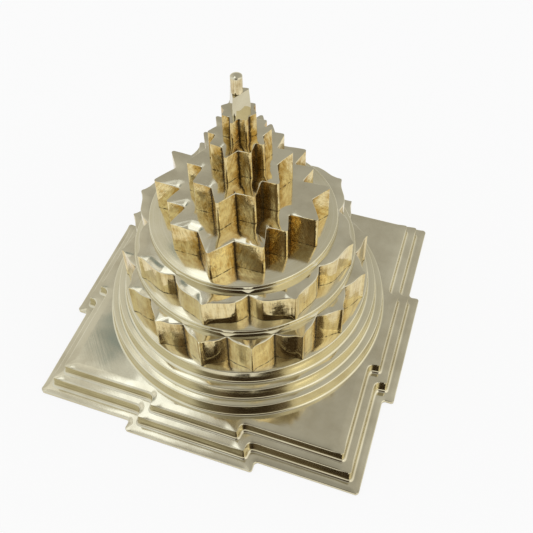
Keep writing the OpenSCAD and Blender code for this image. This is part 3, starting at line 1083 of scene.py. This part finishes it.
@dataclass(frozen=True)
class ScrewSet:
    """Sizes and places of the four base screws, measured on their solids, in millimetres."""

    at: float
    head: float
    shank: float
    tall: float

    NEAR_MM: ClassVar[float] = 0.01

    @classmethod
    def of_solid(cls, solid: bpy.types.Object) -> ScrewSet:
        """Measures the screws.

        Args:
            solid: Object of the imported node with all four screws.

        Returns:
            Distance from the middle planes, radius of head and shank, and length.
        """
        tall = max(v.co.z for v in solid.data.vertices)
        spans = []
        for level in (0.0, tall):
            reach = [abs(v.co.x) / MM for v in solid.data.vertices if abs(v.co.z - level) < cls.NEAR_MM * MM]
            spans.append((min(reach), max(reach)))
        (near, far), (low, high) = spans
        return cls((near + far) / 2, (far - near) / 2, (high - low) / 2, tall / MM)

    def places(self) -> list[tuple[float, float]]:
        """Middles of the screws."""
        return [(-self.at, -self.at), (self.at, -self.at), (self.at, self.at), (-self.at, self.at)]


@dataclass
class SquareBase(Assembly):
    """The bottom plate and the two square steps with their gates."""

    plate_edge: Edge = Edge(rim=0.4, crown=2.0, slope=6, tip=1.2, notch=1.0, pitch=1.5, rough=0.02)
    step_edge: Edge = Edge(
        rim=0.6, crown=3.0, slope=5, tip=1.3, notch=1.6, pitch=1.2, rough=0.04, draft=5.0, fillet=1.1
    )
    sink_gap: float = 0.12
    sink_deep: float = 1.0
    sink_over: float = 0.1
    sink_sides: int = 48

    def build(self) -> None:
        """Builds and dresses the plate and the steps."""
        plate = self.outlined("base_plate", self.plate_edge, 11)
        self._countersink(plate)
        self.stand_in(plate, "base_plate", WORN_TREAD, EMERY_WALL)
        for seed, node in enumerate(("bhupura_middle", "bhupura_upper"), start=12):
            step = self.outlined(node, self.step_edge, seed)
            self.stand_in(step, node, WORN_TREAD, EMERY_WALL)

    def _countersink(self, plate: bpy.types.Object) -> None:
        """Opens the plate's underside round the screw heads.

        Args:
            plate: Piece of the plate.
        """
        screws = ScrewSet.of_solid(self.solids["base_screws"])
        wide, over = screws.head + self.sink_gap, self.sink_over
        for x, y in screws.places():
            deselect_all()
            bpy.ops.mesh.primitive_cone_add(
                vertices=self.sink_sides,
                radius1=(wide + over) * MM,
                radius2=(wide - self.sink_deep) * MM,
                depth=(self.sink_deep + over) * MM,
                location=Vector((x, y, (self.sink_deep - over) / 2)) * MM,
            )
            cut_out(plate, bpy.context.object)
        Tier.smooth(plate)


@dataclass
class RoundSteps(Assembly):
    """The three turned rings and the two turned discs."""

    ring_edge: Edge = Edge(
        rim=0.4, crown=2.2, slope=7, tip=0.0, notch=0.0, pitch=1.4, rough=0.0, draft=4.5, fillet=0.9
    )
    bead_drop: float = 1.3
    bead_in: float = 0.3
    groove: tuple[tuple[float, float], ...] = ((-0.15, 0.0), (0.0, -0.1))
    groove_top: float = 0.05

    def build(self) -> None:
        """Builds and dresses the rings and discs."""
        for node in ("ring_lower", "ring_middle", "ring_upper", "petal_disc", "star_disc"):
            low, high = self.levels(node)
            radius = max(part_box(node)[1].xy) / MM
            beaded = node.endswith("disc")
            edge = DISC_EDGE if beaded else self.ring_edge
            plan = Plan.of_circle(radius, edge.pitch)
            wall = self._wall(low, high, edge, beaded)
            shift = wall[-1][1]
            fall = [(high - drop, shift - inset) for inset, drop in edge.fall()[1:]]
            hollow = len(edge.rise())
            piece = Tier.turned(f"{node}_brass", plan, wall + fall, (hollow, len(wall) - 1)).build()
            self.stand_in(piece, node, LATHE_TREAD, LATHE_WALL)

    def _wall(self, low: float, high: float, edge: Edge, beaded: bool) -> list[tuple[float, float]]:
        """Profile of a round step below its rim.

        Args:
            low: Height of the foot.
            high: Height of the tread.
            edge: How the step is worn.
            beaded: Whether a fine groove sets a bead off below the tread.

        Returns:
            Heights and outward shifts, from the foot up.
        """
        spread = edge.lean_out(0, high - low)
        top = high - edge.fall()[0][1]
        foot = [(low + up, spread + out) for out, up in edge.rise()] + [(low + edge.fillet, spread)]
        if not beaded:
            return [*foot, (top, -spread)]
        bead = top - self.bead_drop
        groove = [(bead + up, out) for up, out in self.groove]
        return [*foot, *groove, (bead + self.groove_top, -self.bead_in), (top, -self.bead_in)]


@dataclass
class PetalTiers(Assembly):
    """The tiers of sixteen and of eight petals."""

    edge: Edge = Edge(rim=0.32, crown=3.3, slope=6.8, tip=1.1, notch=0.5, pitch=0.6, rough=0.08, draft=1.0)
    lean: float = 6.0

    def build(self) -> None:
        """Builds and dresses both petal tiers."""
        discs = {"petals_sixteen": None, "petals_eight": "petal_disc"}
        for seed, (node, disc) in enumerate(discs.items(), start=21):
            piece = self.outlined(node, self.edge, seed, self.lean, disc)
            self.stand_in(piece, node, BUFFED_TREAD, SCRAPED_WALL)


@dataclass
class StarTiers(Assembly):
    """The four star tiers."""

    large: Edge = Edge(rim=0.32, crown=4.5, slope=7, tip=1.0, notch=0.45, pitch=0.55, rough=0.14, draft=0.8)
    small: Edge = Edge(rim=0.26, crown=2.6, slope=7.5, tip=0.8, notch=0.4, pitch=0.4, rough=0.1, draft=0.8)
    lean: float = 45.0

    def build(self) -> None:
        """Builds and dresses the stars."""
        sizes = {
            "star_fourteen": self.large,
            "star_ten_outer": self.large,
            "star_ten_inner": self.small,
            "star_eight": self.small,
        }
        for seed, (node, edge) in enumerate(sizes.items(), start=31):
            disc = "star_disc" if node == "star_fourteen" else None
            piece = self.outlined(node, edge, seed, self.lean, disc)
            self.stand_in(piece, node, BUFFED_TREAD, FILED_WALL)


@dataclass
class Finial(Assembly):
    """The triangle and the bindu on top."""

    triangle_edge: Edge = Edge(
        rim=0.25, crown=1.0, slope=8, tip=0.8, notch=0.6, pitch=0.3, rough=0.05, draft=4.0
    )
    dome: float = 0.6
    dome_edge: float = 0.25
    dome_steps: int = 8
    foot_round: float = 0.15
    pitch: float = 0.2

    def build(self) -> None:
        """Builds and dresses the triangle and the bindu."""
        triangle = self.outlined("triangle", self.triangle_edge, 41)
        self.stand_in(triangle, "triangle", BUFFED_FINIAL, BUFFED_FINIAL)
        low, high = self.levels("bindu")
        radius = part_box("bindu")[1].x / MM
        profile = [(low, -self.foot_round), (low + self.foot_round, 0.0)]
        profile.append((high - self.dome - self.dome_edge, 0.0))
        for k in range(self.dome_steps):
            turn = math.pi / 2 * (k + 1) / (self.dome_steps + 1)
            profile.append((high - self.dome + self.dome * math.sin(turn), radius * (math.cos(turn) - 1)))
        bindu = Tier.turned("bindu_brass", Plan.of_circle(radius, self.pitch), profile, (0, 2)).build()
        self.stand_in(bindu, "bindu", BUFFED_FINIAL, KNOB_WALL)


@dataclass
class Fixings(Assembly):
    """The slotted base screws, and the hidden rods, pins, nut and washer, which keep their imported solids."""

    rods: tuple[str, ...] = (
        "tie_rod", "clamp_washer", "clamp_nut", "guide_rods", "star_pins", "triangle_pin"
    )
    pitch: float = 0.3
    slot_wide: float = 0.7
    slot_deep: float = 0.6
    slot_turns: tuple[float, ...] = (20, 75, 130, -15)

    def build(self) -> None:
        """Builds the screws and dresses the hidden fixings."""
        self.stand_in(self._screws(), "base_screws", DRAWN_ROD, DRAWN_ROD)
        for node in self.rods:
            solid = self.solids[node]
            solid.data.materials.clear()
            solid.data.materials.append(DRAWN_ROD.material())
            LOG.info("%s keeps its solid", node)

    def _screws(self) -> bpy.types.Object:
        """Turns the four countersunk screws and cuts a slot across each head.

        Returns:
            All four screws as one piece.
        """
        sizes = ScrewSet.of_solid(self.solids["base_screws"])
        neck = sizes.head - sizes.shank
        profile = [(0.0, 0.0), (neck, -neck), (sizes.tall, -neck)]
        plan = Plan.of_circle(sizes.head, self.pitch)
        made = []
        for (x, y), turn in zip(sizes.places(), self.slot_turns):
            screw = Tier.turned("base_screws_brass", plan, profile, (0, 2)).build()
            deselect_all()
            slot = Vector((self.slot_wide, 3 * sizes.head, 2 * self.slot_deep)) * MM
            bpy.ops.mesh.primitive_cube_add(size=1, rotation=(0, 0, math.radians(turn)), scale=slot)
            cut_out(screw, bpy.context.object)
            Tier.smooth(screw)
            screw.location = Vector((x, y, 0)) * MM
            made.append(screw)
        deselect_all()
        for screw in made:
            screw.select_set(True)
        bpy.context.view_layer.objects.active = made[0]
        bpy.ops.object.join()
        bpy.ops.object.transform_apply(location=True, rotation=True, scale=True)
        return made[0]


@dataclass(frozen=True)
class PhotoCamera:
    """Camera of the photograph, from a fit to its corners; the frame is square.

    Attributes:
        side_px: Side of the photograph.
        focal_px: Focal length.
        axis_px: Where the optical axis meets the picture.
        azimuth: Turn round the tower, in degrees from the front.
        elevation: Height of the view, in degrees.
        roll: Tilt of the picture, in degrees.
        distance_mm: Distance to the point looked at.
        target_mm: Point on the floor plane that the axis meets.
    """

    side_px: float = 533
    focal_px: float = 726.6
    axis_px: tuple[float, float] = (257.6, 222.4)
    azimuth: float = 20.56
    elevation: float = 49.05
    roll: float = -1.86
    distance_mm: float = 382.3
    target_mm: tuple[float, float, float] = (-13.33, 51.59, 0.0)

    SENSOR_MM: ClassVar[float] = 36
    NEAREST_MM: ClassVar[float] = 10

    def build(self) -> None:
        """Adds the camera and makes it the scene's own."""
        turn, lift = math.radians(self.azimuth), math.radians(self.elevation)
        back = Vector((math.sin(turn) * math.cos(lift), -math.cos(turn) * math.cos(lift), math.sin(lift)))
        right = Vector((math.cos(turn), math.sin(turn), 0))
        tilt = Matrix.Rotation(math.radians(self.roll), 3, back)
        right = tilt @ right
        up = back.cross(right)
        bpy.ops.object.camera_add()
        camera = bpy.context.object
        camera.name = "photo_camera"
        place = (Vector(self.target_mm) + back * self.distance_mm) * MM
        axes = Matrix((right, up, back)).transposed().to_4x4()
        camera.matrix_world = Matrix.Translation(place) @ axes
        camera.data.sensor_width = self.SENSOR_MM
        camera.data.lens = self.focal_px * self.SENSOR_MM / self.side_px
        camera.data.shift_x = (self.side_px / 2 - self.axis_px[0]) / self.side_px
        camera.data.shift_y = (self.axis_px[1] - self.side_px / 2) / self.side_px
        camera.data.clip_start = self.NEAREST_MM * MM
        bpy.context.scene.camera = camera


@dataclass(frozen=True)
class Strip:
    """A long soft light, seen from the tower as a bar between two places on the sky.

    Attributes:
        name: Name of the lamp.
        start: Turn from the camera and elevation of one end, in degrees.
        end: The same of the other end.
        tall_mm: Width of the bar.
        level: Brightness of its face, where 1 is a white wall.
        colour: Tint of its light.
    """

    name: str
    start: tuple[float, float]
    end: tuple[float, float]
    tall_mm: float
    level: float
    colour: str


@dataclass
class Studio:
    """Pale floor, soft room with light strips, and the dark cards that the polished brass mirrors.

    Attributes:
        camera: Camera that the sides of the stage are turned to.
        floor_mm: Side of the floor.
        floor_colour: Colour of the floor.
        floor_lift_mm: Height of the floor, clear of the part's flat underside.
        floor_glow: Share of white in what the camera and the brass see of the floor.
        ceiling: Least brightness of the room from well above the camera upwards.
        ceiling_from: Sines of elevation between which the ceiling sets in.
        overhead: Brightness straight above.
        overhead_from: Sines of elevation between which that sets in.
        skirt: Sines of elevation between which the pale lower wall gives way to the room.
        skirt_colour: Colour of that lower wall.
        reach_mm: Distance of the light strips.
        screen_colour: Middle of the card that stands round the camera.
        screen_edge: Edge of that card.
        screen_mm: Its width and height.
        screen_hang_mm: Place of its middle below and behind the camera.
        screen_fade: Share of its side at which the fade starts and ends.
        gap_colour: Card that stands for the dim gap in the window.
        gap_place: Its turn and elevation.
        gap_mm: Its width and height.
        gap_reach: Its distance as a share of the light strips'.
    """

    camera: PhotoCamera
    floor_mm: float = 6000
    floor_colour: str = "#F6F5F2"
    floor_lift_mm: float = 0.05
    floor_glow: float = 0.86
    ceiling: float = 0.48
    ceiling_from: tuple[float, float] = (0.82, 0.9)
    overhead: float = 0.4
    overhead_from: tuple[float, float] = (0.945, 0.98)
    skirt: tuple[float, float] = (0.22, 0.32)
    skirt_colour: str = "#FAFAF8"
    reach_mm: float = 2000
    screen_colour: str = "#40362F"
    screen_edge: str = "#80766E"
    screen_mm: tuple[float, float] = (240, 330)
    screen_hang_mm: tuple[float, float, float] = (0, -125, 10)
    screen_fade: tuple[float, float] = (0.25, 0.5)
    gap_colour: str = "#8F9DA2"
    gap_place: tuple[float, float] = (-156.5, 56.5)
    gap_mm: tuple[float, float] = (140, 130)
    gap_reach: float = 0.9

    ROOM: ClassVar[tuple[tuple[float, float, str], ...]] = (
        (-180, 0.52, "#FFFFFF"),
        (-150, 0.74, "#FFFFFF"),
        (-115, 1.14, "#EDF3FF"),
        (-48, 1.18, "#EDF3FF"),
        (-35, 0.26, "#FFFAF6"),
        (16, 0.24, "#FFFAF6"),
        (34, 1.24, "#FFFFFF"),
        (95, 1.2, "#FFFFFF"),
        (128, 0.66, "#FFFFFF"),
        (180, 0.52, "#FFFFFF"),
    )
    STRIPS: ClassVar[tuple[Strip, ...]] = (
        Strip("window_strip", (-170, 60), (-136, 69.5), 290, 1.2, "#DDE9FF"),
        Strip("window_foot", (-168, 52.5), (-166, 60), 150, 0.8, "#DDE9FF"),
        Strip("window_sill", (-152, 58), (-136, 60), 130, 0.5, "#EAF1FF"),
        Strip("low_strip", (33, 35), (51, 34), 330, 0.9, "#FFFFFF"),
    )

    def build(self) -> None:
        """Builds the stage round the tower."""
        self._floor()
        self._room()
        for strip in self.STRIPS:
            self._lamp(strip)
        self._screen()
        self._gap()

    def _around(self, turn: float, lift: float, reach_mm: float) -> Vector:
        """Place round the tower, turned from the camera's side.

        Args:
            turn: Turn from the camera, in degrees, positive to its right.
            lift: Elevation, in degrees.
            reach_mm: Distance from the tower.

        Returns:
            The place, in metres.
        """
        side, rise = math.radians(self.camera.azimuth + turn), math.radians(lift)
        way = Vector((math.sin(side) * math.cos(rise), -math.cos(side) * math.cos(rise), math.sin(rise)))
        return way * reach_mm * MM

    @staticmethod
    def _paint(name: str) -> tuple[bpy.types.Material, bpy.types.NodeTree]:
        """Empty material and its node tree."""
        paint = bpy.data.materials.new(name)
        paint.use_nodes = True
        paint.node_tree.nodes.clear()
        return paint, paint.node_tree

    def _floor(self) -> None:
        """Plain pale floor, lifted to white for the camera and in the brass, with the tower's shadow."""
        deselect_all()
        bpy.ops.mesh.primitive_plane_add(size=self.floor_mm * MM, location=(0, 0, self.floor_lift_mm * MM))
        floor = bpy.context.object
        floor.name = "floor"
        paint, tree = self._paint("matt_pale_floor")
        add = partial(add_node, tree)
        path = add("LightPath").outputs
        clear = add("Math", {0: path["Is Glossy Ray"], 1: path["Is Transmission Ray"]}, operation="MAXIMUM")
        seen = add("Math", {0: path["Is Camera Ray"], 1: clear}, operation="MAXIMUM")
        matt = add("BsdfDiffuse", {"Color": linear(self.floor_colour)})
        white = add("Emission", {"Color": (1.0, 1.0, 1.0, 1.0)})
        share = add("Math", {0: seen, 1: self.floor_glow}, operation="MULTIPLY")
        both = add("MixShader", {0: share, 1: matt, 2: white})
        add("OutputMaterial", {"Surface": both})
        floor.data.materials.append(paint)

    def _room(self) -> None:
        """Pale room, dim higher up behind the camera and behind the tower, the same to every ray."""
        world = bpy.data.worlds.new("studio_room")
        bpy.context.scene.world = world
        world.use_nodes = True
        tree = world.node_tree
        tree.nodes.clear()
        add = partial(add_node, tree)
        way = add("TexCoord").outputs["Generated"]
        sides = []
        for turn in (90, 0):
            side = tuple(self._around(turn, 0, 1 / MM))
            sides.append(add("VectorMath", {0: way, 1: side}, operation="DOT_PRODUCT"))
        turned = add("Math", {0: sides[0], 1: sides[1]}, operation="ARCTAN2")
        round_room = add("MapRange", {"Value": turned, "From Min": -math.pi, "From Max": math.pi})
        ramp = add("ValToRGB", {"Fac": round_room})
        ramp.color_ramp.interpolation = "EASE"
        stops = ramp.color_ramp.elements
        for turn, _, _ in self.ROOM[1:-1]:
            stops.new((turn + 180) / 360)
        for stop, (_, level, tint) in zip(stops, self.ROOM):
            stop.color = (*[level * part for part in linear(tint)[:3]], 1.0)
        rise = add("SeparateXYZ", {"Vector": way}).outputs["Z"]
        high = add(
            "MapRange",
            {
                "Value": rise,
                "From Min": self.ceiling_from[0],
                "From Max": self.ceiling_from[1],
                "To Max": self.ceiling,
            },
        )
        lit = add("Mix", {"Factor": 1.0, 6: ramp, 7: high}, data_type="RGBA", blend_type="LIGHTEN")
        above = add(
            "MapRange",
            {"Value": rise, "From Min": self.overhead_from[0], "From Max": self.overhead_from[1]},
            interpolation_type="SMOOTHSTEP",
        )
        level = (self.overhead, self.overhead, self.overhead, 1.0)
        shade = add("Mix", {"Factor": above, 6: lit, 7: level}, data_type="RGBA")
        raised = add("MapRange", {"Value": rise, "From Min": self.skirt[0], "From Max": self.skirt[1]})
        pale = linear(self.skirt_colour)
        walls = add("Mix", {"Factor": raised, 6: pale, 7: shade}, data_type="RGBA")
        room = add("Background", {"Color": walls})
        add("OutputWorld", {"Surface": room})

    def _lamp(self, strip: Strip) -> None:
        """Adds one light strip that faces the tower.

        Args:
            strip: Where it hangs and how bright it is.
        """
        deselect_all()
        start, end = [self._around(*place, self.reach_mm) for place in (strip.start, strip.end)]
        middle, along = (start + end) / 2, (end - start).normalized()
        away = (middle - along * middle.dot(along)).normalized()
        bpy.ops.object.light_add(type="AREA")
        lamp = bpy.context.object
        lamp.name = strip.name
        axes = Matrix((along, away.cross(along), away)).transposed().to_4x4()
        lamp.matrix_world = Matrix.Translation(middle) @ axes
        lamp.data.shape = "RECTANGLE"
        lamp.data.size = (end - start).length
        lamp.data.size_y = strip.tall_mm * MM
        lamp.data.color = linear(strip.colour)[:3]
        lamp.data.energy = strip.level * math.pi * lamp.data.size * lamp.data.size_y

    def _screen(self) -> None:
        """Dark card round and below the camera that fades towards its edge."""
        view = bpy.context.scene.camera.matrix_world
        place = view @ Matrix.Translation(Vector(self.screen_hang_mm) * MM)
        paint, tree = self._paint("dark_camera_card")
        add = partial(add_node, tree)
        spot = add("TexCoord").outputs["Object"]
        reach = add("VectorMath", {0: spot}, operation="LENGTH")
        start, end = self.screen_fade
        rim = add(
            "MapRange", {"Value": reach, "From Min": start, "From Max": end}, interpolation_type="SMOOTHSTEP"
        )
        tones = {6: linear(self.screen_colour), 7: linear(self.screen_edge)}
        tone = add("Mix", {"Factor": rim, **tones}, data_type="RGBA")
        self._card("camera_card", place, self.screen_mm, paint, tone)

    def _gap(self) -> None:
        """Dim grey card among the window's light."""
        spot = self._around(*self.gap_place, self.gap_reach * self.reach_mm)
        facing = spot.to_track_quat("Z", "Y").to_matrix().to_4x4()
        paint, _ = self._paint("dim_window_card")
        place = Matrix.Translation(spot) @ facing
        self._card("gap_card", place, self.gap_mm, paint, linear(self.gap_colour))

    @staticmethod
    def _card(
        name: str, place: Matrix, size_mm: tuple[float, float], paint: bpy.types.Material, tone: Any
    ) -> None:
        """Hangs up a glowing card that only the reflections show.

        Args:
            name: Name of the card.
            place: Its place and facing.
            size_mm: Its width and height.
            paint: Its material, which still needs a shader.
            tone: Its colour, or the node that gives it.
        """
        deselect_all()
        bpy.ops.mesh.primitive_plane_add(size=1)
        card = bpy.context.object
        card.name = name
        wide, tall = [side * MM for side in size_mm]
        card.matrix_world = place @ Matrix.Diagonal((wide, tall, 1, 1))
        glow = add_node(paint.node_tree, "Emission", {"Color": tone})
        add_node(paint.node_tree, "OutputMaterial", {"Surface": glow})
        card.data.materials.append(paint)
        for ray in ("camera", "diffuse", "transmission", "volume_scatter", "shadow"):
            setattr(card, f"visible_{ray}", False)


def main() -> None:
    """Builds the tower, its stage and its camera."""
    logging.basicConfig(level=logging.INFO, format="%(name)s: %(message)s")
    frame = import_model()
    slots = {row["node"]: row["material_slot"] for row in frame["record"]["subparts"]}
    camera = PhotoCamera()
    camera.build()
    for kind in (SquareBase, RoundSteps, PetalTiers, StarTiers, Finial, Fixings):
        kind(frame["nodes"], slots).build()
    Studio(camera).build()
    bpy.context.scene.view_settings.view_transform = "Standard"


if __name__ == "__main__":
    main()
